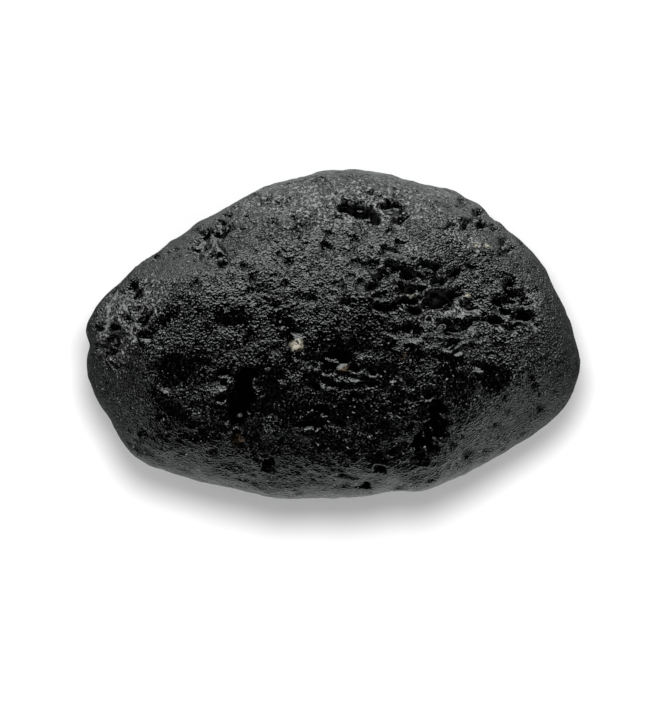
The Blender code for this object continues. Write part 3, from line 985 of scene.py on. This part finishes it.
def table_white():
    """White table that the stone's gloss picks up at a share of its brightness, with painted shade that
    only the gloss sees.
    """
    material, nodes, where = new_material("white_table")
    mirrored = nodes.add("ShaderNodeLightPath").outputs["Is Glossy Ray"]
    x, y, _ = nodes.xyz(where)
    # Painted shade, in the gloss only: darker towards -X, next to the stone on -Y, near the X axis and far
    # off.
    share = nodes.math("MULTIPLY", nodes.ramp(x, *TABLE_ACROSS), nodes.ramp(y, *TABLE_FRONT))
    share = nodes.blend(nodes.ramp(y, *TABLE_BACK), share, TABLE_BACK_SHARE)
    reach = nodes.math("SQRT", nodes.math("MULTIPLY_ADD", x, x, nodes.math("MULTIPLY", y, y)))
    share = nodes.math("MULTIPLY", share, nodes.ramp(reach, *TABLE_SEEN))
    share = nodes.math("MULTIPLY", share, nodes.ramp(nodes.math("ABSOLUTE", y), *TABLE_ENDS))
    shaded_in_gloss = nodes.math("MULTIPLY", share, TABLE_TONE)
    tone = nodes.blend(mirrored, TABLE_TONE, shaded_in_gloss)
    tint = nodes.mix(mirrored, WHITE, COOL)
    tinted = nodes.add("ShaderNodeVectorMath", {0: tone, 1: tint}, operation="MULTIPLY")
    values = {
        "Base Color": tinted.outputs["Vector"],
        "Roughness": TABLE_ROUGHNESS,
        "Specular IOR Level": 0.0,
    }
    nodes.fill(material.node_tree.nodes["Principled BSDF"], values)
    return material


def make_table():
    """The table, a part of the stage."""
    mesh = bpy.data.meshes.new("table")
    corners = [(-1, -1, 0), (1, -1, 0), (1, 1, 0), (-1, 1, 0)]
    mesh.from_pydata([Vector(c) * TABLE_HALF for c in corners], [], [(0, 1, 2, 3)])
    mesh.materials.append(table_white())
    table = bpy.data.objects.new("table", mesh)
    table.location.z = -TABLE_DROP
    bpy.context.scene.collection.objects.link(table)


def make_key_light():
    """Round lamp above the stone, for the soft shadow. The gloss doesn't pick it up."""
    light = bpy.data.lights.new("key_light", "AREA")
    light.shape = "DISK"
    light.size = KEY_WIDTH
    light.energy = KEY_POWER
    lamp = bpy.data.objects.new("key_light", light)
    lamp.visible_camera = False
    lamp.visible_glossy = False
    tilt = np.radians(KEY_TILT)
    toward_lamp = Vector((0, np.sin(tilt), np.cos(tilt)))
    lamp.location = Vector((0, 0, WIDEST_LEVEL * MM)) + KEY_DISTANCE * toward_lamp
    lamp.rotation_euler = (-toward_lamp).to_track_quat("-Z", "Y").to_euler()
    bpy.context.scene.collection.objects.link(lamp)


def softboxes(nodes):
    """Radiance of the softboxes by direction."""
    x, y, z = nodes.xyz(nodes.add("ShaderNodeTexCoord").outputs["Generated"])
    total = 0.0
    for azimuth, low, high, reach, radiance in SOFTBOXES:
        c, s = np.cos(np.radians(azimuth)), np.sin(np.radians(azimuth))
        along = nodes.math("MULTIPLY_ADD", x, c, nodes.math("MULTIPLY", y, s))
        across = nodes.math("MULTIPLY_ADD", x, -s, nodes.math("MULTIPLY", y, c))
        angle = nodes.math("ARCTAN2", along, z)
        starts = nodes.ramp(angle, *np.radians((low - SOFTBOX_EDGE, low + SOFTBOX_EDGE)))
        ends = nodes.ramp(angle, *np.radians((high - SOFTBOX_EDGE, high + SOFTBOX_EDGE)), 1.0, 0.0)
        aside = nodes.math("ABSOLUTE", across)
        sides = nodes.ramp(aside, reach - SIDE_EDGE, reach + SIDE_EDGE, radiance, 0.0)
        box = nodes.math("MULTIPLY", nodes.math("MULTIPLY", starts, ends), sides)
        total = nodes.math("ADD", box, total)
    return total


def make_world():
    """Even light from all round, with the softboxes in the gloss and white behind the table."""
    world = bpy.data.worlds.new("studio")
    world.use_nodes = True
    nodes = Nodes(world.node_tree)
    path = nodes.add("ShaderNodeLightPath").outputs
    in_gloss = nodes.math("ADD", softboxes(nodes), SKY_IN_GLOSS)
    ambient = nodes.blend(path["Is Glossy Ray"], AMBIENT, in_gloss)
    values = {
        "Strength": nodes.math("MAXIMUM", ambient, path["Is Camera Ray"]),
        "Color": nodes.mix(path["Is Glossy Ray"], WHITE, COOL),
    }
    nodes.fill(world.node_tree.nodes["Background"], values)
    bpy.context.scene.world = world


def make_camera():
    """The camera, straight above the stone."""
    camera = bpy.data.cameras.new("camera")
    camera.sensor_fit = "AUTO"
    camera.sensor_width = CAMERA_SENSOR
    distance = CAMERA_HEIGHT - WIDEST_LEVEL * MM
    camera.lens = CAMERA_SENSOR * distance / (VIEW_HEIGHT_MM * MM)
    camera.clip_end = CAMERA_REACH
    obj = bpy.data.objects.new("camera", camera)
    obj.location = (VIEW_CENTRE[0] * MM, VIEW_CENTRE[1] * MM, CAMERA_HEIGHT)
    bpy.context.scene.collection.objects.link(obj)
    bpy.context.scene.camera = obj


def main():
    """Builds the stone's surface over the frame, and the studio."""
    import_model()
    stone = make_stone()
    stone.data.materials.append(etched_glass())
    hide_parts("tektite")
    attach(stone, "root")
    make_table()
    make_key_light()
    make_world()
    make_camera()
    scene = bpy.context.scene
    scene.view_settings.view_transform = "Standard"
    scene.view_settings.look = "None"


main()
